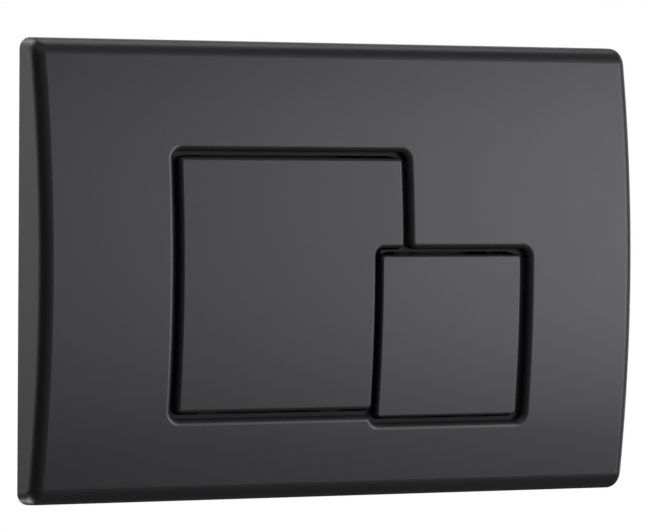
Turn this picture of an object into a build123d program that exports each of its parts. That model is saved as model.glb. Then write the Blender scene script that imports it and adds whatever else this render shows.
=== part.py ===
from build123d import *
import os
from math import radians, sqrt, tan

# Dual-flush button plate: a convex moulded cover with two hinged buttons, clipped to a mounting
# frame on the wall. X runs right, Z up and +Y into the wall; the wall plane is y = 0.

# Plate, in millimetres and degrees
plate_width = 247.0
plate_height = 165.0
plate_depth = 18.4
face_radius = 445.0
side_draft = 2.5
side_edge_radius = 4.2
top_edge_radius = 7.0
wall = 2.4
rib_pitch = 37.0
rib_columns = 7
rib_rows = 4
rib_thickness = 1.2
rib_height = 4.0

# Buttons: the large one is the full flush, the small one the half flush
full_width = 91.8
full_height = 91.1
full_x = -22.35
full_z = -4.85
half_width = 59.4
half_height = 59.0
half_x = 43.45
half_z = -23.95
notch_side_gap = 2.0
notch_top_gap = 2.6
notch_corner_radius = 3.0
button_corner_radius = 1.7
full_edge_radius = 1.4
half_edge_radius = 1.0
least_radius = 0.3
cap_skin = 2.2
skirt_wall = 1.8
button_rib_pitch = 30.0
button_rib_height = 2.5
full_press_angle = 2.8
half_press_angle = 4.4

# Moat around the buttons, wider on the right of the small one
moat_width = 2.15
moat_right_extra = 1.3
moat_depth = 3.4
moat_corner_radius = 3.4
moat_inner_radius = 2.8
rim_radius = 2.2
floor_thickness = 1.8
tray_wall = 1.8
button_gap = 0.4
full_hinge_gap = 0.8
half_hinge_gap = 1.2
hinge_gap_taper = 4.5
swing_gap = 0.65
tongue_inset = 1.3

# Stop tabs that hold the buttons behind the moat floor
tab_width = 8.0
tab_inset = 15.0
tab_overlap = 1.6
tab_thickness = 1.5
rest_gap = 0.3

# Hinges
pin_radius = 1.5
pin_clearance = 0.05
pin_end = 0.6
lug_radius = 3.0
lug_width = 3.0
lug_side_gap = 0.3
lug_skirt_gap = 0.7
hinge_drop = 4.3
full_hinge_span = 66.0
half_hinge_span = 34.0
half_hinge_shift = 6.0

# Mounting frame
frame_margin = 12.5
frame_thickness = 3.0
panel_thickness = 1.2
window_margin = 6.0
mullion_width = 24.0
window_corner_radius = 2.0
frame_corner_radius = 8.0
frame_clearance = 2.0
pocket_margin = 4.5
pocket_rib = 1.6
pocket_depth = 1.5
frame_lip = 1.6
frame_lip_height = 4.0
bar_z = -29.0
bar_margin = 1.5
hook_x = 55.0
hook_width = 9.0
hook_thickness = 1.8
hook_reach = 3.0
hook_rise = 3.2
hook_lip = 1.5
hook_gap = 0.1

# Push rods, their guides and springs
rod_radius = 3.0
rod_reach = 58.0
rod_tip_radius = 2.4
rod_tip_length = 12.0
rod_tip_chamfer = 0.6
rod_clearance = 0.08
full_rod_x = -24.0
half_rod_x = 45.0
cap_radius = 4.8
cap_length = 5.0
cap_roof = 2.0
cap_crown = 0.8
cap_standoff = 5.7
strike_gap = 0.3
strike_radius = 4.0
cup_gap = 0.6
cup_wall = 1.2
cup_depth = 14.0
cup_floor = 2.0
flange_width = 2.4
flange_thickness = 1.5
spring_wire = 0.8
spring_turns = 5

# Stop pads at the end of the stroke
pad_radius = 3.0
pad_thickness = 2.0
pad_chamfer = 0.4
pad_offset = 17.0
stop_gap = 0.6
post_radius = 2.4

# Fixing bolts
bolt_radius = 3.0
bolt_front_radius = 2.5
bolt_shoulder = 0.5
bolt_reach = 55.0
bolt_spacing = 176.0
bolt_end = 1.0
bolt_chamfer = 0.5
bolt_slot_width = 0.8
bolt_slot_depth = 1.2
slot_clearance = 0.3
slot_length = 16.0
washer_radius = 9.0
washer_thickness = 1.2
nut_flats = 8.0
nut_height = 4.0
thread_gap = 0.03

# Derived places
full_top = full_z + full_height / 2
full_bottom = full_z - full_height / 2
full_left = full_x - full_width / 2
full_right = full_x + full_width / 2
half_top = half_z + half_height / 2
half_bottom = half_z - half_height / 2
half_left = half_x - half_width / 2
half_right = half_x + half_width / 2
floor_back = moat_depth + floor_thickness
tab_front = floor_back + rest_gap
skirt_depth = tab_front + tab_thickness
tab_reach = button_gap + tab_overlap
frame_width = plate_width - 2 * frame_margin
frame_height = plate_height - 2 * frame_margin
open_left = min(full_left, half_left) - tab_reach - frame_clearance
open_right = max(full_right, half_right) + tab_reach + frame_clearance
open_bottom = min(full_bottom, half_bottom) - tab_reach - frame_clearance
open_top = max(full_top, half_top) + moat_width + tray_wall + frame_clearance
cup_inner = cap_radius + cup_gap
cup_outer = cup_inner + cup_wall
flange_radius = cup_outer + flange_width
bar_low = bar_z - flange_radius - bar_margin
bar_high = bar_z + flange_radius + bar_margin
window_left = full_left + window_margin
window_right = half_right - window_margin
window_bottom = bar_high + bar_margin
full_window_top = full_top - hinge_drop / 2
half_window_left = half_left + window_margin
full_window_right = half_window_left - mullion_width
half_window_top = half_top - hinge_drop / 2
cap_front = -frame_thickness - cap_standoff
cap_back = cap_front + cap_length
overshoot = 1.0
hook_back = -frame_thickness - hook_rise
lug_pitch = lug_width + lug_side_gap
half_hinge_x = half_x + half_hinge_shift
full_lugs = (full_x - full_hinge_span / 2 - lug_width, full_x + full_hinge_span / 2)
half_lugs = (half_hinge_x - half_hinge_span / 2 - lug_width, half_hinge_x + half_hinge_span / 2)


def face_y(z, inset=0.0):
    """Y of the convex face, or of a surface that lies inset behind it, at height z."""
    return face_radius - plate_depth - sqrt((face_radius - inset) ** 2 - z**2)


def pin_place(top):
    """Y and Z of the hinge axis of a button whose top edge is at top."""
    return face_y(top, skirt_depth) + lug_skirt_gap + lug_radius, top - hinge_drop


def box_between(corner, opposite, mode=Mode.ADD):
    """Rectangle between two opposite corners of the sketch in hand."""
    with Locations(((corner[0] + opposite[0]) / 2, (corner[1] + opposite[1]) / 2)):
        Rectangle(abs(opposite[0] - corner[0]), abs(opposite[1] - corner[1]), mode=mode)


def frame_window(corner, opposite):
    """Rounded window cut in the sketch in hand, between two opposite corners."""
    width = opposite[0] - corner[0]
    height = opposite[1] - corner[1]
    with Locations((corner[0] + width / 2, corner[1] + height / 2)):
        RectangleRounded(width, height, window_corner_radius, mode=Mode.SUBTRACT)


def frame_pockets(left, right):
    """Pockets in the sketch in hand, two above and two below the bolt's slot in a side of the frame."""
    height = (frame_height / 2 - slot_length / 2 - 2 * pocket_margin - pocket_rib) / 2
    first = slot_length / 2 + pocket_margin + height / 2
    for row in (first, first + height + pocket_rib):
        with Locations(((left + right) / 2, row), ((left + right) / 2, -row)):
            RectangleRounded(right - left - 2 * pocket_margin, height, window_corner_radius)


def rounded_box(x, z, width, height, radius):
    """Rounded rectangle about a point of the sketch in hand."""
    with Locations((x, z)):
        RectangleRounded(width, height, radius)


def full_outline(grow):
    """Outline of the large button, notched around the small one and grown outwards."""
    corner_radius = max(button_corner_radius + grow, least_radius)
    notch_width = half_width + 2 * (notch_side_gap - grow)
    notch_height = half_height + 2 * (notch_top_gap - grow)
    with Locations((full_x, full_z)):
        Rectangle(full_width + 2 * grow, full_height + 2 * grow)
    with Locations((half_x, half_z)):
        RectangleRounded(notch_width, notch_height, notch_corner_radius - grow, mode=Mode.SUBTRACT)
    offset(amount=-corner_radius, kind=Kind.INTERSECTION)
    offset(amount=corner_radius, kind=Kind.ARC)


def half_outline(grow):
    """Outline of the small button, grown outwards."""
    corner_radius = max(button_corner_radius + grow, least_radius)
    rounded_box(half_x, half_z, half_width + 2 * grow, half_height + 2 * grow, corner_radius)


def moat_outline(grow):
    """Outer outline of the moat around both buttons, its inner corners rounded."""
    radius = moat_corner_radius + grow
    both = 2 * (moat_width + grow)
    wide_half = half_width + moat_right_extra
    rounded_box(full_x, full_z, full_width + both, full_height + both, radius)
    rounded_box(half_x + moat_right_extra / 2, half_z, wide_half + both, half_height + both, radius)
    inner_radius = max(moat_inner_radius - grow, least_radius)
    offset(amount=inner_radius, kind=Kind.INTERSECTION)
    offset(amount=-inner_radius, kind=Kind.ARC)


def hinge_slit(left, right, top, hinge_gap):
    """Wider gap above a button's top edge, tapered at both ends, in the sketch in hand."""
    Polygon(
        (left, top),
        (right, top),
        (right - hinge_gap_taper, top + hinge_gap),
        (left + hinge_gap_taper, top + hinge_gap),
        align=None,
    )


def plate_form(inset):
    """Outer form of the plate, or the same form inset on every side but the back."""
    front = plate_depth + overshoot
    back = overshoot if inset else 0.0
    slope = tan(radians(side_draft))
    half_height = plate_height / 2 - inset
    half_width = plate_width / 2 - inset
    with BuildPart() as form:
        with BuildSketch(Plane.YZ) as side:
            Polygon(
                (back, half_height + back * slope),
                (back, -half_height - back * slope),
                (-front, front * slope - half_height),
                (-front, half_height - front * slope),
                align=None,
            )
            with Locations((face_radius - plate_depth, 0)):
                Circle(face_radius - inset, mode=Mode.INTERSECT)
            fillet(side.vertices().group_by(Axis.X)[0], top_edge_radius - inset)
        extrude(amount=plate_width, both=True)
        with BuildSketch(Plane.XY):
            Polygon(
                (half_width + back * slope, back),
                (half_width - front * slope, -front),
                (front * slope - half_width, -front),
                (-half_width - back * slope, back),
                align=None,
            )
        extrude(amount=plate_height, both=True, mode=Mode.INTERSECT)
        front_faces = form.faces().filter_by(GeomType.CYLINDER)
        side_edges = [
            edge
            for face in front_faces
            for edge in face.edges()
            if abs(edge.center().X) > half_width - front * slope - overshoot
        ]
        fillet(side_edges, side_edge_radius - inset)
    return form.part


def face_band(front_inset, back_inset):
    """Curved slab between two surfaces that follow the face."""
    with BuildPart() as band:
        with BuildSketch(Plane.YZ):
            with Locations((face_radius - plate_depth, 0)):
                Circle(face_radius - front_inset)
                Circle(face_radius - back_inset, mode=Mode.SUBTRACT)
        extrude(amount=plate_width, both=True)
    return band.part


def moat_block(front_inset, back_inset, grow):
    """Slab of the moat's outline between two surfaces that follow the face."""
    band = face_band(front_inset, back_inset)
    with BuildPart() as block:
        with BuildSketch(Plane.XZ):
            moat_outline(grow)
        extrude(amount=2 * plate_depth)
        add(band, mode=Mode.INTERSECT)
    return block.part


def rib_grid():
    """Stiffening ribs behind the face, between the moat and the side walls."""
    band = face_band(wall / 2, wall + rib_height)
    inside = plate_form(wall / 2)
    with BuildPart() as ribs:
        with BuildSketch(Plane.XZ.offset(frame_thickness + frame_lip_height + overshoot)):
            with GridLocations(rib_pitch, 1, rib_columns, 1):
                Rectangle(rib_thickness, plate_height)
            with GridLocations(1, rib_pitch, 1, rib_rows):
                Rectangle(plate_width, rib_thickness)
        extrude(amount=2 * plate_depth)
        with BuildSketch(Plane.XZ):
            moat_outline(tray_wall / 2)
        extrude(amount=2 * plate_depth, mode=Mode.SUBTRACT)
        add(band, mode=Mode.INTERSECT)
        add(inside, mode=Mode.INTERSECT)
    return ribs.part


def hinge_lug(x, top, hinge_gap):
    """Lug behind the moat floor that holds one end of a hinge pin, from x to x + lug_width."""
    pin_y, pin_z = pin_place(top)
    foot_y = face_y(top + moat_width, floor_back) - floor_thickness / 2
    foot_high = top + moat_width + tray_wall
    with BuildPart() as lug:
        with BuildSketch(Plane.YZ.offset(x)):
            Polygon(
                (foot_y, foot_high),
                (foot_y, top + hinge_gap),
                (pin_y - lug_radius, top + rest_gap),
                (pin_y - lug_radius, pin_z),
                (pin_y + lug_radius, pin_z),
                (pin_y + lug_radius, foot_high),
                align=None,
            )
            with Locations((pin_y, pin_z)):
                Circle(lug_radius)
                Circle(pin_radius + pin_clearance, mode=Mode.SUBTRACT)
        extrude(amount=lug_width)
    return lug.part


def clip_ledge(x, side):
    """Ledge inside the top or bottom wall that the frame's hook catches."""
    inside = plate_form(wall / 2)
    low = frame_height / 2 + hook_gap + frame_lip / 2
    with BuildPart() as ledge:
        with BuildSketch(Plane.XZ.offset(-hook_back - hook_gap - hook_lip)):
            with Locations((x, side * (low + plate_height / 2) / 2)):
                Rectangle(hook_width + hook_reach, plate_height / 2 - low)
        extrude(amount=hook_lip)
        add(inside, mode=Mode.INTERSECT)
    return ledge.part


def write_part(part, name):
    """Label a finished piece and write it."""
    part.label = name
    export_step(part, f"parts/{name}.step")


def button_hollow(outline):
    """Space inside a button, behind its skin and within its skirt."""
    band = face_band(cap_skin, skirt_depth + overshoot)
    with BuildPart() as hollow:
        with BuildSketch(Plane.XZ):
            outline(-skirt_wall)
        extrude(amount=2 * plate_depth)
        add(band, mode=Mode.INTERSECT)
    return hollow.part


def button_ribs(outline, x, z):
    """Cross ribs behind a button's skin, two each way about its middle."""
    band = face_band(cap_skin / 2, cap_skin + button_rib_height)
    with BuildPart() as ribs:
        with BuildSketch(Plane.XZ):
            with Locations((x - button_rib_pitch / 2, z), (x + button_rib_pitch / 2, z)):
                Rectangle(rib_thickness, plate_height)
            with Locations((x, z - button_rib_pitch / 2), (x, z + button_rib_pitch / 2)):
                Rectangle(plate_width, rib_thickness)
        extrude(amount=2 * plate_depth)
        with BuildSketch(Plane.XZ):
            outline(-skirt_wall / 2)
        extrude(amount=2 * plate_depth, mode=Mode.INTERSECT)
        add(band, mode=Mode.INTERSECT)
    return ribs.part


def stop_tab(x, z, turn):
    """Tab that stands out of a skirt behind the moat floor; turn 0 points it up."""
    band = face_band(tab_front, skirt_depth)
    with BuildPart() as tab:
        with BuildSketch(Plane.XZ):
            with Locations(Location((x, z), turn)):
                Rectangle(tab_width, 2 * tab_reach)
        extrude(amount=2 * plate_depth)
        add(band, mode=Mode.INTERSECT)
    return tab.part


def flush_button(outline, edge_radius, ribs, top, lugs, rod_x, press_angle, tabs):
    """Hollow button cap with its ribs, hinge ears, strike pad, stop posts and stop tabs."""
    band = face_band(0.0, skirt_depth)
    hollow = button_hollow(outline)
    tab_parts = [stop_tab(*tab) for tab in tabs]
    pin_y, pin_z = pin_place(top)
    ear_front = face_y(pin_z, cap_skin / 2)
    skin_y = face_y(bar_z, cap_skin / 2)
    strike_y = cap_front - strike_gap
    stroke = (pin_z - bar_z) * tan(radians(press_angle))
    post_y = -frame_thickness - pad_thickness - stop_gap - stroke
    with BuildPart() as button:
        with BuildSketch(Plane.XZ):
            outline(0.0)
        extrude(amount=2 * plate_depth)
        add(band, mode=Mode.INTERSECT)
        fillet(button.faces().sort_by(Axis.Y)[0].outer_wire().edges(), edge_radius)
        add(hollow, mode=Mode.SUBTRACT)
        add(ribs)
        for x in (lugs[0] + lug_pitch, lugs[1] - lug_pitch):
            with BuildSketch(Plane.YZ.offset(x)):
                box_between((ear_front, pin_z - lug_radius), (pin_y, pin_z + lug_radius))
                with Locations((pin_y, pin_z)):
                    Circle(lug_radius)
                    Circle(pin_radius + pin_clearance, mode=Mode.SUBTRACT)
            extrude(amount=lug_width)
        with BuildSketch(Plane.XZ.offset(-strike_y)):
            with Locations((rod_x, bar_z)):
                Circle(strike_radius)
        extrude(amount=strike_y - skin_y)
        with BuildSketch(Plane.XZ.offset(-post_y)):
            with Locations((rod_x - pad_offset, bar_z), (rod_x + pad_offset, bar_z)):
                Circle(post_radius)
        extrude(amount=post_y - skin_y)
        for tab in tab_parts:
            add(tab)
    return button.part


def hinge_pin(top, lugs):
    """Steel pin through both lugs of the cover and both ears of the button."""
    pin_y, pin_z = pin_place(top)
    start = lugs[0] - pin_end
    with BuildPart() as pin:
        with BuildSketch(Plane.YZ.offset(start)):
            with Locations((pin_y, pin_z)):
                Circle(pin_radius)
        extrude(amount=lugs[1] + lug_width + pin_end - start)
        chamfer(pin.edges().filter_by(GeomType.CIRCLE), pin_end / 2)
    return pin.part


def rod_axis(x):
    """Sliding axis of the push rod at x."""
    return Axis((x, 0, bar_z), (0, 1, 0))


def rod_plane(x):
    """Plane through a push rod's axis: its X is the radius, its Y runs along the rod."""
    return Plane(origin=(x, 0, bar_z), x_dir=(1, 0, 0), z_dir=(0, 0, 1))


def rod_guide(x):
    """Flanged cup that carries the rod and its spring, seated in the cross bar."""
    front = -frame_thickness - flange_thickness
    with BuildPart() as guide:
        with BuildSketch(rod_plane(x)):
            with BuildLine():
                Polyline(
                    (rod_radius + rod_clearance, cup_depth - cup_floor),
                    (cup_inner, cup_depth - cup_floor),
                    (cup_inner, front),
                    (flange_radius, front),
                    (flange_radius, -frame_thickness),
                    (cup_outer, -frame_thickness),
                    (cup_outer, cup_depth),
                    (rod_radius + rod_clearance, cup_depth),
                    close=True,
                )
            make_face()
        revolve(axis=rod_axis(x))
    return guide.part


def push_rod(x):
    """Rod from the cap at the front to the slimmer tip that meets the flush valve."""
    start = cap_front + cap_roof
    with BuildPart() as rod:
        with BuildSketch(Plane.XZ.offset(-start)):
            with Locations((x, bar_z)):
                Circle(rod_radius)
        extrude(amount=start - rod_reach + rod_tip_length)
        with BuildSketch(Plane.XZ.offset(rod_tip_length - rod_reach)):
            with Locations((x, bar_z)):
                Circle(rod_tip_radius)
        extrude(amount=-rod_tip_length)
        chamfer(rod.edges().filter_by(GeomType.CIRCLE).sort_by(Axis.Y)[-1], rod_tip_chamfer)
    return rod.part


def rod_cap(x):
    """Crowned head screwed on the rod, which the button strikes."""
    bore = rod_radius + thread_gap
    with BuildPart() as cap:
        with BuildSketch(rod_plane(x)):
            with BuildLine():
                Polyline(
                    (0, cap_front),
                    (0, cap_front + cap_roof),
                    (bore, cap_front + cap_roof),
                    (bore, cap_back),
                    (cap_radius, cap_back),
                    (cap_radius, cap_front + cap_crown),
                )
                crown = (cap_radius**2 + cap_crown**2) / (2 * cap_crown)
                RadiusArc((cap_radius, cap_front + cap_crown), (0, cap_front), crown)
            make_face()
        revolve(axis=rod_axis(x))
    return cap.part


def return_spring(x):
    """Flat-wire coil spring between the rod's cap and the floor of its guide."""
    length = cup_depth - cup_floor - cap_back - spring_wire - 2 * thread_gap
    start = cap_back + spring_wire / 2 + thread_gap
    radius = (rod_radius + cup_inner) / 2
    with BuildPart() as spring:
        with BuildLine():
            pitch = length / spring_turns
            coil = Helix(pitch, length, radius, center=(x, start, bar_z), direction=(0, 1, 0))
        with BuildSketch(Plane(origin=coil @ 0, x_dir=(1, 0, 0), z_dir=coil % 0)):
            Rectangle(spring_wire, spring_wire)
        sweep(is_frenet=True)
    return spring.part


def stop_pads(rod_x):
    """Pair of rubber pads on the cross bar that end the button's stroke."""
    with BuildPart() as pads:
        with BuildSketch(Plane.XZ.offset(frame_thickness)):
            with Locations((rod_x - pad_offset, bar_z), (rod_x + pad_offset, bar_z)):
                Circle(pad_radius)
        extrude(amount=pad_thickness)
        chamfer(pads.edges().group_by(Axis.Y)[0], pad_chamfer)
    return pads.part


def fixing_bolt(x):
    """Threaded distance bolt: its slotted front takes the nut, its shoulder stays behind the frame."""
    front = -frame_thickness - washer_thickness - nut_height - bolt_end
    with BuildPart() as bolt:
        with BuildSketch(Plane.XZ.offset(-front)):
            with Locations((x, 0)):
                Circle(bolt_front_radius)
        extrude(amount=front - bolt_shoulder)
        with BuildSketch(Plane.XZ.offset(-bolt_shoulder)):
            with Locations((x, 0)):
                Circle(bolt_radius)
        extrude(amount=bolt_shoulder - bolt_reach)
        ends = bolt.edges().filter_by(GeomType.CIRCLE).sort_by(Axis.Y)
        chamfer([ends[0], ends[-1]], bolt_chamfer)
        with BuildSketch(Plane.XZ.offset(-front)):
            with Locations((x, 0)):
                Rectangle(bolt_slot_width, 2 * bolt_radius)
        extrude(amount=-bolt_slot_depth, mode=Mode.SUBTRACT)
    return bolt.part


def bolt_washer(x):
    """Large washer over the frame's slot."""
    with BuildPart() as washer:
        with BuildSketch(Plane.XZ.offset(frame_thickness)):
            with Locations((x, 0)):
                Circle(washer_radius)
                Circle(bolt_front_radius + slot_clearance, mode=Mode.SUBTRACT)
        extrude(amount=washer_thickness)
    return washer.part


def bolt_nut(x):
    """Hexagon nut that clamps the frame."""
    with BuildPart() as nut:
        with BuildSketch(Plane.XZ.offset(frame_thickness + washer_thickness)):
            with Locations((x, 0)):
                RegularPolygon(nut_flats / 2, 6, major_radius=False)
                Circle(bolt_front_radius + thread_gap, mode=Mode.SUBTRACT)
        extrude(amount=nut_height)
    return nut.part


os.makedirs("parts", exist_ok=True)

# Cover plate: shell with the moat's tray, ribs, hinge lugs and clip ledges
outer_form = plate_form(0.0)
inner_form = plate_form(wall)
tray = moat_block(wall / 2, floor_back, tray_wall)
pocket = moat_block(-overshoot, moat_depth, 0.0)
rib_part = rib_grid()
with BuildPart() as cover_plate:
    add(outer_form)
    add(inner_form, mode=Mode.SUBTRACT)
    add(rib_part)
    add(tray)
    add(pocket, mode=Mode.SUBTRACT)
    fillet(cover_plate.faces().sort_by(Axis.Y)[0].inner_wires()[0].edges(), rim_radius)
    for shift in (0.0, button_gap - swing_gap):
        with BuildSketch(Plane(origin=(0, 0, shift), x_dir=(1, 0, 0), z_dir=(0, -1, 0))):
            full_outline(button_gap)
            half_outline(button_gap)
        extrude(amount=2 * plate_depth, mode=Mode.SUBTRACT)
    with BuildSketch(Plane.XZ):
        hinge_slit(full_left, full_right, full_top, full_hinge_gap)
        hinge_slit(half_left, half_right, half_top, half_hinge_gap)
        box_between(
            (half_left - notch_side_gap, full_bottom),
            (half_left + tongue_inset, half_top + notch_top_gap),
        )
    extrude(amount=2 * plate_depth, mode=Mode.SUBTRACT)
    for x in full_lugs:
        add(hinge_lug(x, full_top, full_hinge_gap))
    for x in half_lugs:
        add(hinge_lug(x, half_top, half_hinge_gap))
    for x in (-hook_x, hook_x):
        add(clip_ledge(x, 1))
        add(clip_ledge(x, -1))
write_part(cover_plate.part, "cover_plate")

# Mounting frame: ring on the wall plane with a thin panel behind the buttons' edges, a cross bar for
# the rod guides, slots for the bolts and hooks for the cover
with BuildPart() as mounting_frame:
    with BuildSketch(Plane.XZ):
        box_between((open_left, open_bottom), (open_right, open_top))
        frame_window((window_left, window_bottom), (full_window_right, full_window_top))
        frame_window((half_window_left, window_bottom), (window_right, half_window_top))
    extrude(amount=panel_thickness)
    with BuildSketch(Plane.XZ):
        RectangleRounded(frame_width, frame_height, frame_corner_radius)
        box_between((open_left, open_bottom), (open_right, open_top), Mode.SUBTRACT)
        box_between((open_left, bar_low), (open_right, bar_high))
        with Locations((-bolt_spacing / 2, 0), (bolt_spacing / 2, 0)):
            SlotOverall(slot_length, 2 * (bolt_radius + slot_clearance), 90, mode=Mode.SUBTRACT)
    extrude(amount=frame_thickness)
    with BuildSketch(Plane.XZ):
        with Locations((full_rod_x, bar_z), (half_rod_x, bar_z)):
            Circle(cup_outer + rod_clearance)
    extrude(amount=frame_thickness, mode=Mode.SUBTRACT)
    with BuildSketch(Plane.XZ):
        frame_pockets(-frame_width / 2, open_left)
        frame_pockets(open_right, frame_width / 2)
    extrude(amount=pocket_depth, mode=Mode.SUBTRACT)
    with BuildSketch(Plane.XZ.offset(frame_thickness)):
        RectangleRounded(frame_width, frame_height, frame_corner_radius)
        RectangleRounded(
            frame_width - 2 * frame_lip,
            frame_height - 2 * frame_lip,
            frame_corner_radius - frame_lip,
            mode=Mode.SUBTRACT,
        )
    extrude(amount=frame_lip_height)
    for x in (-hook_x, hook_x):
        with BuildSketch(Plane.YZ.offset(x - hook_width / 2)):
            for side in (1, -1):
                edge = side * frame_height / 2
                box_between((hook_back - hook_lip, edge - side * hook_thickness), (0, edge))
                box_between((hook_back - hook_lip, edge), (hook_back, edge + side * hook_reach))
        extrude(amount=hook_width)
write_part(mounting_frame.part, "mounting_frame")

# Buttons, with a stop tab on each free side
full_tabs = (
    (full_left + tab_inset, full_bottom, 0),
    (half_left - notch_side_gap - tab_inset, full_bottom, 0),
    (full_left, bar_z, 90),
    (full_right, (full_top + half_top + notch_top_gap) / 2, 90),
)
half_tabs = (
    (half_left + tab_inset, half_bottom, 0),
    (half_right - tab_inset, half_bottom, 0),
    (half_right, bar_z, 90),
)
full_ribs = button_ribs(full_outline, full_x, full_z)
half_ribs = button_ribs(half_outline, half_x, half_z)
full_button = flush_button(
    full_outline,
    full_edge_radius,
    full_ribs,
    full_top,
    full_lugs,
    full_rod_x,
    full_press_angle,
    full_tabs,
)
half_button = flush_button(
    half_outline,
    half_edge_radius,
    half_ribs,
    half_top,
    half_lugs,
    half_rod_x,
    half_press_angle,
    half_tabs,
)
write_part(full_button, "full_flush_button")
write_part(half_button, "half_flush_button")

# Hinge pins
write_part(hinge_pin(full_top, full_lugs), "full_button_pin")
write_part(hinge_pin(half_top, half_lugs), "half_button_pin")

# Push rods with their caps, guides, springs and stop pads
for name, x in (("full", full_rod_x), ("half", half_rod_x)):
    write_part(rod_guide(x), f"{name}_rod_guide")
    write_part(push_rod(x), f"{name}_push_rod")
    write_part(rod_cap(x), f"{name}_rod_cap")
    write_part(return_spring(x), f"{name}_return_spring")
    write_part(stop_pads(x), f"{name}_stop_pads")

# Fixing bolts with their washers and nuts
for name, x in (("left", -bolt_spacing / 2), ("right", bolt_spacing / 2)):
    write_part(fixing_bolt(x), f"{name}_fixing_bolt")
    write_part(bolt_washer(x), f"{name}_bolt_washer")
    write_part(bolt_nut(x), f"{name}_bolt_nut")
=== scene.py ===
from math import atan2, cos, degrees, hypot, pi, radians, sin, tan

import bmesh
import bpy
from mathutils import Euler, Matrix, Vector


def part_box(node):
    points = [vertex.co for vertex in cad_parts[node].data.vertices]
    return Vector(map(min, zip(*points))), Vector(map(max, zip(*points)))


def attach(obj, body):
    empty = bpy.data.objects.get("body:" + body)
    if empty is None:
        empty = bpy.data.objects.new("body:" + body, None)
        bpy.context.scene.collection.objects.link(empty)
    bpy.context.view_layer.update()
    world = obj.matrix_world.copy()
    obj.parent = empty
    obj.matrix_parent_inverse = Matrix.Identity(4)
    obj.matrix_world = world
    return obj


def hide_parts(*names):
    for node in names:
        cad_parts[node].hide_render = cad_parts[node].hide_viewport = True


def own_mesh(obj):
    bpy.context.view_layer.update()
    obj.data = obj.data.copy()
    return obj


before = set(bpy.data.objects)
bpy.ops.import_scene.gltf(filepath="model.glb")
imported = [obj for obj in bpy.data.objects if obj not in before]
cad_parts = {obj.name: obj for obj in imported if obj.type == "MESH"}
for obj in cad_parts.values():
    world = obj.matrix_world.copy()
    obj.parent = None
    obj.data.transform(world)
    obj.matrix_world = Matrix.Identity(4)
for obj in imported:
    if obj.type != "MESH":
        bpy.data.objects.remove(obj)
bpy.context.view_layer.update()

# Mounting frame: a dark grey ring, injection-moulded in one piece, that lies on the wall around the
# service opening. A cross bar carries the rod guides, and hooks at its top and bottom hold the cover.


def patchy(name, colour, tint_range, roughness_range, patches_per_metre, detail):
    """Material whose colour and sheen vary in soft patches."""
    material = bpy.data.materials.new(name)
    material.use_nodes = True
    tree = material.node_tree
    shader = tree.nodes["Principled BSDF"]
    place = tree.nodes.new("ShaderNodeTexCoord")
    patches = tree.nodes.new("ShaderNodeTexNoise")
    patches.inputs["Scale"].default_value = patches_per_metre
    patches.inputs["Detail"].default_value = detail
    tint = tree.nodes.new("ShaderNodeValToRGB")
    for stop, share in zip(tint.color_ramp.elements, tint_range):
        stop.color = (*[share * part for part in colour], 1.0)
    sheen = tree.nodes.new("ShaderNodeMapRange")
    smoothest, roughest = roughness_range
    sheen.inputs["To Min"].default_value = smoothest
    sheen.inputs["To Max"].default_value = roughest
    link = tree.links.new
    link(place.outputs["Object"], patches.inputs["Vector"])
    link(patches.outputs["Fac"], tint.inputs["Fac"])
    link(tint.outputs["Color"], shader.inputs["Base Color"])
    link(patches.outputs["Fac"], sheen.inputs["Value"])
    link(sheen.outputs["Result"], shader.inputs["Roughness"])
    return material


def moulded_plastic(name, colour, roughness, grain_size, grain_depth):
    """Moulded plastic: a fine spark-eroded grain, a faint mottle in colour and an uneven sheen."""
    tint_range = (0.92, 1.08)
    sheen_spread = 0.02
    roughness_range = (roughness - sheen_spread, roughness + sheen_spread)
    mottles_per_metre = 140.0
    mottle_detail = 4.0
    grain_detail = 2.0
    material = patchy(name, colour, tint_range, roughness_range, mottles_per_metre, mottle_detail)
    tree = material.node_tree
    grain = tree.nodes.new("ShaderNodeTexNoise")
    grain.inputs["Scale"].default_value = 1.0 / grain_size
    grain.inputs["Detail"].default_value = grain_detail
    bump = tree.nodes.new("ShaderNodeBump")
    bump.inputs["Strength"].default_value = 1.0
    bump.inputs["Distance"].default_value = grain_depth
    link = tree.links.new
    link(tree.nodes["Texture Coordinate"].outputs["Object"], grain.inputs["Vector"])
    link(grain.outputs["Fac"], bump.inputs["Height"])
    link(bump.outputs["Normal"], tree.nodes["Principled BSDF"].inputs["Normal"])
    return material


def dress(node, material):
    """Give a carried-over node one material."""
    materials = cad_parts[node].data.materials
    materials.clear()
    materials.append(material)


frame_grey = (0.022, 0.022, 0.024)
frame_roughness = 0.5
frame_grain_size = 0.0006
frame_grain_depth = 0.00001
frame_plastic = moulded_plastic(
    "frame_plastic", frame_grey, frame_roughness, frame_grain_size, frame_grain_depth
)
dress("mounting_frame", frame_plastic)

# Rod guides: light grey moulded cups. Each is pushed through the cross bar from the front until its
# flange rests on the bar, and the rod runs in the bore at its end.
guide_grey = (0.3, 0.31, 0.32)
guide_roughness = 0.45
guide_grain_size = 0.0006
guide_grain_depth = 0.000008
guide_plastic = moulded_plastic(
    "guide_plastic", guide_grey, guide_roughness, guide_grain_size, guide_grain_depth
)
for use in ("full", "half"):
    dress(f"{use}_rod_guide", guide_plastic)

# Return springs: coils of drawn steel wire with closed ends, in the guides' cups. Each stands on the
# floor of its cup and carries the rod's cap. Here the coil is built at one length on the base and does
# not shorten as the rod goes in.


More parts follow.
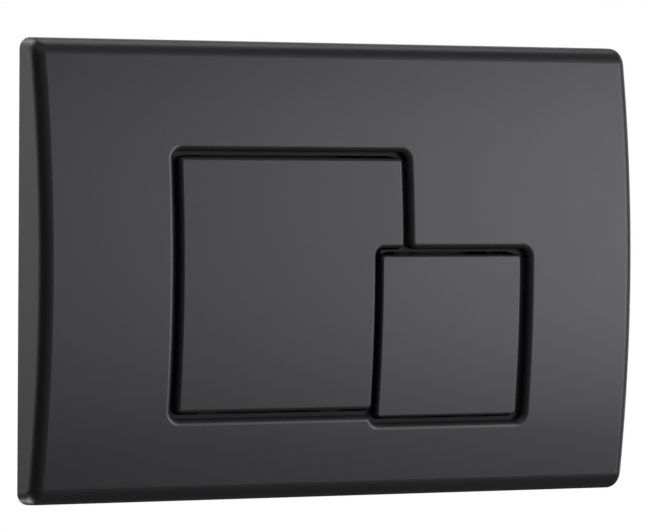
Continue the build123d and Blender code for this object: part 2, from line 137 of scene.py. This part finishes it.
def drawn_steel(name, colour, roughness):
    """Bare or plated steel with cloudy patches in its colour and sheen."""
    tint_range = (0.85, 1.1)
    bright_patch = 0.06
    dull_patch = 0.08
    roughness_range = (roughness - bright_patch, roughness + dull_patch)
    clouds_per_metre = 260.0
    cloud_detail = 5.0
    material = patchy(name, colour, tint_range, roughness_range, clouds_per_metre, cloud_detail)
    material.node_tree.nodes["Principled BSDF"].inputs["Metallic"].default_value = 1.0
    return material


def cad_axis(node):
    """The x and z of a round node's axis, its radius, and the y of its front and back ends."""
    low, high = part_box(node)
    return (low.x + high.x) / 2, (low.z + high.z) / 2, (high.x - low.x) / 2, low.y, high.y


def stand_in(node, bm, material, body):
    """Object made from a finished bmesh that stands for a node, in the given material, on a body."""
    merge_distance = 1e-6
    sharp_angle = radians(35)
    bmesh.ops.remove_doubles(bm, verts=bm.verts, dist=merge_distance)
    bmesh.ops.recalc_face_normals(bm, faces=bm.faces)
    mesh = bpy.data.meshes.new(node)
    bm.to_mesh(mesh)
    bm.free()
    mesh.shade_smooth()
    mesh.set_sharp_from_angle(angle=sharp_angle)
    mesh.materials.append(material)
    made = bpy.data.objects.new(f"{node}_detail", mesh)
    bpy.context.scene.collection.objects.link(made)
    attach(made, body)
    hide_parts(node)
    return made


def close_ring(bm, geom):
    """Face across an open ring of edges."""
    bmesh.ops.edgeloop_fill(bm, edges=[part for part in geom if isinstance(part, bmesh.types.BMEdge)])


steps_per_turn = 20
wire_radius = 0.0004
wire_sides = 12
closed_pitch = 2 * wire_radius
closed_turns = 1
active_turns = 4
closed_length = 2 * closed_turns * closed_pitch + 2 * wire_radius
spring_grey = (0.5, 0.5, 0.52)
spring_roughness = 0.28
spring_steel = drawn_steel("spring_steel", spring_grey, spring_roughness)
for use in ("full", "half"):
    x, z, outer_radius, front, back = cad_axis(f"{use}_return_spring")
    active_pitch = (back - front - closed_length) / active_turns
    wire_start = Matrix.Translation((x + outer_radius - wire_radius, front + wire_radius, z))
    bm = bmesh.new()
    bmesh.ops.create_circle(bm, segments=wire_sides, radius=wire_radius, matrix=wire_start)
    first_end = [*bm.verts, *bm.edges]
    last_end = first_end
    for pitch, turns in (
        (closed_pitch, closed_turns),
        (active_pitch, active_turns),
        (closed_pitch, closed_turns),
    ):
        wound = bmesh.ops.spin(
            bm,
            geom=last_end,
            cent=(x, 0, z),
            axis=(0, 1, 0),
            dvec=(0, pitch / steps_per_turn, 0),
            angle=2 * pi * turns,
            steps=steps_per_turn * turns,
        )
        last_end = wound["geom_last"]
    close_ring(bm, first_end)
    close_ring(bm, last_end)
    spring = stand_in(f"{use}_return_spring", bm, spring_steel, "base")
    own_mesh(spring)

# Push rods: white acetal rods with a dark cap on the front end. The part that slides in the guide is
# smooth, the part behind it is threaded so that the length can be set, and a slim tip meets the valve.


def turned(bm, x, z, outline):
    """Body turned about a line along Y, from the (radius, y) points of its outline."""
    points = [bm.verts.new((x + radius, y, z)) for radius, y in outline]
    edges = [bm.edges.new(ends) for ends in zip(points, points[1:])]
    bmesh.ops.spin(
        bm,
        geom=[*points, *edges],
        cent=(x, 0, z),
        axis=(0, 1, 0),
        angle=2 * pi,
        steps=2 * steps_per_turn,
        use_merge=True,
    )


def thread(bm, x, z, core, crest, pitch, front, back):
    """Ridge of a thread, wound about a line along Y and sunk a little into its core."""
    sunk_share = 0.2
    foot_share = 0.8
    crest_share = 0.16
    root = core - sunk_share * (crest - core)
    half_foot = foot_share * pitch / 2
    half_crest = crest_share * pitch / 2
    start = front + half_foot
    corners = ((root, -half_foot), (crest, -half_crest), (crest, half_crest), (root, half_foot))
    points = [bm.verts.new((x + radius, start + along, z)) for radius, along in corners]
    edges = [bm.edges.new(ends) for ends in zip(points, [*points[1:], points[0]])]
    turns = int((back - front - 2 * half_foot) / pitch)
    wound = bmesh.ops.spin(
        bm,
        geom=[*points, *edges],
        cent=(x, 0, z),
        axis=(0, 1, 0),
        dvec=(0, pitch / steps_per_turn, 0),
        angle=2 * pi * turns,
        steps=steps_per_turn * turns,
    )
    close_ring(bm, edges)
    close_ring(bm, wound["geom_last"])


smooth_end = 0.017
tip_length = 0.012
tip_radius = 0.0024
rod_thread_core = 0.0025
rod_thread_pitch = 0.00125
end_chamfer = 0.0005
rod_white = (0.72, 0.72, 0.69)
cap_grey = (0.1, 0.105, 0.11)
rod_roughness = 0.35
rod_grain_size = 0.0009
rod_grain_depth = 0.000006
rod_plastic = moulded_plastic("rod_plastic", rod_white, rod_roughness, rod_grain_size, rod_grain_depth)
cap_plastic = moulded_plastic("cap_plastic", cap_grey, rod_roughness, rod_grain_size, rod_grain_depth)
for use in ("full", "half"):
    x, z, rod_radius, front, back = cad_axis(f"{use}_push_rod")
    tip_start = back - tip_length
    rod_outline = [
        (0, front),
        (rod_radius - end_chamfer, front),
        (rod_radius, front + end_chamfer),
        (rod_radius, smooth_end - end_chamfer),
        (rod_thread_core, smooth_end),
        (rod_thread_core, tip_start - end_chamfer),
        (tip_radius, tip_start),
        (tip_radius, back - end_chamfer),
        (tip_radius - end_chamfer, back),
        (0, back),
    ]
    bm = bmesh.new()
    turned(bm, x, z, rod_outline)
    thread(bm, x, z, rod_thread_core, rod_radius, rod_thread_pitch, smooth_end, tip_start)
    stand_in(f"{use}_push_rod", bm, rod_plastic, f"{use}_rod")
    dress(f"{use}_rod_cap", cap_plastic)

# Stop pads: moulded black rubber pads, a pair behind each button, stuck to the front of the cross bar.
# They end the button's stroke softly.
pad_black = (0.02, 0.02, 0.02)
pad_roughness = 0.7
pad_grain_size = 0.0005
pad_grain_depth = 0.00001
pad_rubber = moulded_plastic("pad_rubber", pad_black, pad_roughness, pad_grain_size, pad_grain_depth)
for use in ("full", "half"):
    dress(f"{use}_stop_pads", pad_rubber)

# Fixing bolts: zinc-plated steel, screwed into the cistern's sockets behind the wall with a screwdriver
# in the slot. A finer thread in front of the shoulder takes the washer and nut that clamp the frame.


def slot_lip(bm, x, z, radius, front, depth, width, way):
    """Half-round lip beside a screwdriver slot that runs up and down; way is 1 on its right, or -1."""
    lip_foot = Matrix.Translation((x, front + depth, z)) @ Matrix.Rotation(pi / 2, 4, "X")
    disc = bmesh.ops.create_circle(
        bm, cap_ends=True, segments=2 * steps_per_turn, radius=radius, matrix=lip_foot
    )
    face = disc["verts"][0].link_faces[0]
    lip = bmesh.ops.bisect_plane(
        bm,
        geom=[face, *face.edges, *face.verts],
        plane_co=(x + way * width / 2, 0, z),
        plane_no=(way, 0, 0),
        clear_inner=True,
    )
    raised = bmesh.ops.extrude_face_region(
        bm, geom=[part for part in lip["geom"] if isinstance(part, bmesh.types.BMFace)]
    )
    top = [part for part in raised["geom"] if isinstance(part, bmesh.types.BMVert)]
    bmesh.ops.translate(bm, verts=top, vec=(0, -depth, 0))


rear_thread_pitch = 0.001
front_thread_pitch = 0.0008
core_share = 0.84
front_radius = 0.0025
shoulder_front = 0.0005
shoulder_back = 0.003
shoulder_chamfer = 0.00025
slot_depth = 0.0012
slot_width = 0.0008
zinc_grey = (0.66, 0.67, 0.68)
zinc_roughness = 0.3
zinc_steel = drawn_steel("zinc_steel", zinc_grey, zinc_roughness)
for side in ("left", "right"):
    x, z, bolt_radius, front, back = cad_axis(f"{side}_fixing_bolt")
    rear_core = core_share * bolt_radius
    front_core = core_share * front_radius
    slot_floor = front + slot_depth
    thread_end = back - end_chamfer
    bolt_outline = [
        (0, slot_floor),
        (front_core, slot_floor),
        (front_core, shoulder_front),
        (bolt_radius - shoulder_chamfer, shoulder_front),
        (bolt_radius, shoulder_front + shoulder_chamfer),
        (bolt_radius, shoulder_back),
        (rear_core, shoulder_back + end_chamfer),
        (rear_core, thread_end),
        (rear_core - end_chamfer, back),
        (0, back),
    ]
    bm = bmesh.new()
    turned(bm, x, z, bolt_outline)
    thread(bm, x, z, front_core, front_radius, front_thread_pitch, slot_floor, shoulder_front)
    thread(bm, x, z, rear_core, bolt_radius, rear_thread_pitch, shoulder_back, thread_end)
    for way in (1, -1):
        slot_lip(bm, x, z, front_core, front, slot_depth, slot_width, way)
    stand_in(f"{side}_fixing_bolt", bm, zinc_steel, "base")
    dress(f"{side}_bolt_washer", zinc_steel)
    dress(f"{side}_bolt_nut", zinc_steel)

# Cover plate and buttons: satin black plastic, injection-moulded. The cover has a convex face and clips
# onto the frame's hooks. The buttons are mouldings of their own, in the moat round its two openings,
# and the large one has a little less gloss.
satin_black = (0.03, 0.03, 0.0322)
satin_roughness = 0.38
satin_grain_size = 0.0005
satin_grain_depth = 0.000002
satin_tint = (0.95, 0.95, 1.0, 1.0)


def satin(name, gloss):
    """The plate's satin black plastic, with a faintly cool reflection."""
    material = moulded_plastic(name, satin_black, satin_roughness, satin_grain_size, satin_grain_depth)
    shader = material.node_tree.nodes["Principled BSDF"]
    shader.inputs["Specular IOR Level"].default_value = gloss
    shader.inputs["Specular Tint"].default_value = satin_tint
    return material


plate_gloss = 0.5
large_button_gloss = 0.46
satin_plastic = satin("satin_black_plastic", plate_gloss)
for node in ("cover_plate", "half_flush_button"):
    dress(node, satin_plastic)
dress("full_flush_button", satin("large_button_plastic", large_button_gloss))

# Moat floor: the part of the cover between the buttons and the rim, left with the coarser texture of the
# mould where the face is polished to satin. It lies a set depth behind the face, whose curve it follows.


def math_step(tree, operation, *values):
    """Output of one step of arithmetic in a material, on numbers and on the outputs of other nodes."""
    step = tree.nodes.new("ShaderNodeMath")
    step.operation = operation
    for socket, value in zip(step.inputs, values):
        if isinstance(value, bpy.types.NodeSocket):
            tree.links.new(value, socket)
        else:
            socket.default_value = value
    return step.outputs[0]


face_radius = 0.445
face_axis_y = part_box("cover_plate")[0].y + face_radius
moat_depth = 0.0034
fade_start = 0.0006
fade_end = 0.0001
moat_half_width = 0.09
moat_half_height = 0.065
floor_roughness = 0.85


def coarsen_floor(material):
    """Roughen the satin plastic where it lies as far behind the face as the moat's floor does."""
    tree = material.node_tree
    place = tree.nodes["Texture Coordinate"].outputs["Object"]
    upright = tree.nodes.new("ShaderNodeVectorMath")
    upright.operation = "MULTIPLY"
    upright.inputs[1].default_value = (0, 1, 1)
    tree.links.new(place, upright.inputs[0])
    from_axis = tree.nodes.new("ShaderNodeVectorMath")
    from_axis.operation = "DISTANCE"
    from_axis.inputs[1].default_value = (0, face_axis_y, 0)
    tree.links.new(upright.outputs["Vector"], from_axis.inputs[0])
    deep = tree.nodes.new("ShaderNodeMapRange")
    deep.inputs["From Min"].default_value = face_radius - moat_depth + fade_start
    deep.inputs["From Max"].default_value = face_radius - moat_depth + fade_end
    tree.links.new(from_axis.outputs["Value"], deep.inputs["Value"])
    split = tree.nodes.new("ShaderNodeSeparateXYZ")
    tree.links.new(place, split.inputs[0])
    aside = math_step(tree, "ABSOLUTE", split.outputs["X"])
    height = math_step(tree, "ABSOLUTE", split.outputs["Z"])
    within_width = math_step(tree, "LESS_THAN", aside, moat_half_width)
    within_height = math_step(tree, "LESS_THAN", height, moat_half_height)
    near = math_step(tree, "MULTIPLY", within_width, within_height)
    on_floor = math_step(tree, "MULTIPLY", near, deep.outputs["Result"])
    satin_sheen = tree.nodes["Map Range"].outputs["Result"]
    sheen = math_step(tree, "MULTIPLY_ADD", on_floor, floor_roughness - satin_roughness, satin_sheen)
    tree.links.new(sheen, tree.nodes["Principled BSDF"].inputs["Roughness"])


coarsen_floor(satin_plastic)

# Hinge pins: ground steel pins behind the top edge of each button. They are pushed through the lugs
# behind the cover's moat floor and the button's ears between them.
pin_grey = (0.6, 0.6, 0.61)
pin_roughness = 0.25
pin_steel = drawn_steel("pin_steel", pin_grey, pin_roughness)
for use in ("full", "half"):
    dress(f"{use}_button_pin", pin_steel)

# Room: a white wall and a pale floor far behind and below, seen through the open back of a dark cloth
# tent that keeps stray light off the black face. The camera looks in through the cloth.
world = bpy.data.worlds.new("studio")
bpy.context.scene.world = world
world.use_nodes = True
white_wall = world.node_tree.nodes["Background"]
white_wall.inputs["Color"].default_value = (1.0, 1.0, 1.0, 1.0)
white_wall.inputs["Strength"].default_value = 1.0


def matt(name, grey):
    """Matt grey cloth or paint."""
    matt_roughness = 0.9
    material = bpy.data.materials.new(name)
    material.use_nodes = True
    shader = material.node_tree.nodes["Principled BSDF"]
    shader.inputs["Base Color"].default_value = (grey, grey, grey, 1.0)
    shader.inputs["Roughness"].default_value = matt_roughness
    shader.inputs["Specular IOR Level"].default_value = 0.0
    return material


def show_pale(material, grey):
    """Show a matt material at one grey to the camera and in reflections, though the tent shades it."""
    tree = material.node_tree
    ray = tree.nodes.new("ShaderNodeLightPath").outputs
    straight = math_step(tree, "MAXIMUM", ray["Is Camera Ray"], ray["Is Glossy Ray"])
    seen = math_step(tree, "MAXIMUM", straight, ray["Is Transmission Ray"])
    plain = tree.nodes.new("ShaderNodeEmission")
    plain.inputs["Color"].default_value = (grey, grey, grey, 1.0)
    either = tree.nodes.new("ShaderNodeMixShader")
    tree.links.new(seen, either.inputs["Fac"])
    tree.links.new(tree.nodes["Principled BSDF"].outputs["BSDF"], either.inputs[1])
    tree.links.new(plain.outputs["Emission"], either.inputs[2])
    tree.links.new(either.outputs["Shader"], tree.nodes["Material Output"].inputs["Surface"])


def stage_piece(name, bm, material):
    """A piece of the room, from a finished bmesh."""
    mesh = bpy.data.meshes.new(name)
    bm.to_mesh(mesh)
    bm.free()
    mesh.materials.append(material)
    piece = bpy.data.objects.new(name, mesh)
    bpy.context.scene.collection.objects.link(piece)
    return piece


tent_radius = 2.6
tent_panels = 72
tent_rows = 36
tent_grey = 0.16
open_left = 120
open_right = 90
open_low_left = -6
open_low_right = -16
open_high = 29
bm = bmesh.new()
bmesh.ops.create_uvsphere(bm, u_segments=tent_panels, v_segments=tent_rows, radius=tent_radius)
open_back = []
for panel in bm.faces:
    middle = panel.calc_center_median()
    azimuth = degrees(atan2(middle.x, -middle.y))
    elevation = degrees(atan2(middle.z, hypot(middle.x, middle.y)))
    on_left = azimuth < -open_left and elevation > open_low_left
    on_right = azimuth > open_right and elevation > open_low_right
    if elevation < open_high and (on_left or on_right):
        open_back.append(panel)
bmesh.ops.delete(bm, geom=open_back, context="FACES")
tent = stage_piece("tent", bm, matt("tent_cloth", tent_grey))
tent.visible_camera = False

pale_grey = 0.85
ground_radius = 8.0
ground_sides = 64
ground_z = -2.7
floor_paint = matt("floor_paint", pale_grey)
show_pale(floor_paint, pale_grey)
bm = bmesh.new()
bmesh.ops.create_circle(bm, cap_ends=True, segments=ground_sides, radius=ground_radius)
bmesh.ops.translate(bm, verts=bm.verts, vec=(0, 0, ground_z))
stage_piece("floor", bm, floor_paint)

# Lights: soft boxes inside the tent. The one on the right gives the face its sheen, two above fill the
# rim and the top edge, and two at the back light the frame and the bolts.
lamp_distance = 2.0


def soft_box(name, azimuth, elevation, half_width, half_height, radiance):
    """Soft box that faces the plate from an azimuth right of its front and an elevation, in degrees.

    Its half width and half height are the angles that it takes up, seen from the plate.
    """
    lamp = bpy.data.lights.new(name, "AREA")
    lamp.shape = "RECTANGLE"
    lamp.size = 2 * lamp_distance * tan(radians(half_width))
    lamp.size_y = 2 * lamp_distance * tan(radians(half_height))
    lamp.energy = radiance * pi * lamp.size * lamp.size_y
    box = bpy.data.objects.new(name, lamp)
    bpy.context.scene.collection.objects.link(box)
    turn = radians(azimuth)
    rise = radians(elevation)
    way = Vector((sin(turn) * cos(rise), -cos(turn) * cos(rise), sin(rise)))
    box.location = way * lamp_distance
    box.rotation_mode = "QUATERNION"
    box.rotation_quaternion = way.to_track_quat("Z", "Y")
    box.visible_camera = False


soft_box("right_box", azimuth=43.5, elevation=3.5, half_width=13, half_height=18.5, radiance=5.55)
soft_box("upper_left_box", azimuth=-25, elevation=52, half_width=30, half_height=14, radiance=0.5)
soft_box("upper_right_box", azimuth=132, elevation=65, half_width=18, half_height=14, radiance=1.7)
soft_box("upper_back_box", azimuth=-150, elevation=45, half_width=15, half_height=12, radiance=4.5)
soft_box("lower_back_box", azimuth=-150, elevation=-45, half_width=15, half_height=12, radiance=4.5)

# Camera: a long lens, left of the plate and a little above its middle. Its place and focal length come
# from the perspective of the photograph's outline, and the shift centres the plate as there.
camera_yaw = radians(29.487)
camera_pitch = radians(1.244)
camera_roll = radians(0.369)
camera_distance = 1.825
photo_width = 650.0
focal_pixels = 5013.0
shift_right_pixels = 1.2
shift_up_pixels = 4.6
camera_data = bpy.data.cameras.new("camera")
camera_data.sensor_width = 36.0
camera_data.lens = camera_data.sensor_width * focal_pixels / photo_width
camera_data.shift_x = shift_right_pixels / photo_width
camera_data.shift_y = shift_up_pixels / photo_width
camera = bpy.data.objects.new("camera", camera_data)
bpy.context.scene.collection.objects.link(camera)
aim = Euler((pi / 2 - camera_pitch, 0.0, -camera_yaw)).to_matrix()
camera.location = aim @ Vector((0.0, 0.0, camera_distance))
camera.rotation_euler = (aim @ Matrix.Rotation(camera_roll, 3, "Z")).to_euler()
bpy.context.scene.camera = camera
bpy.context.scene.view_settings.view_transform = "Standard"
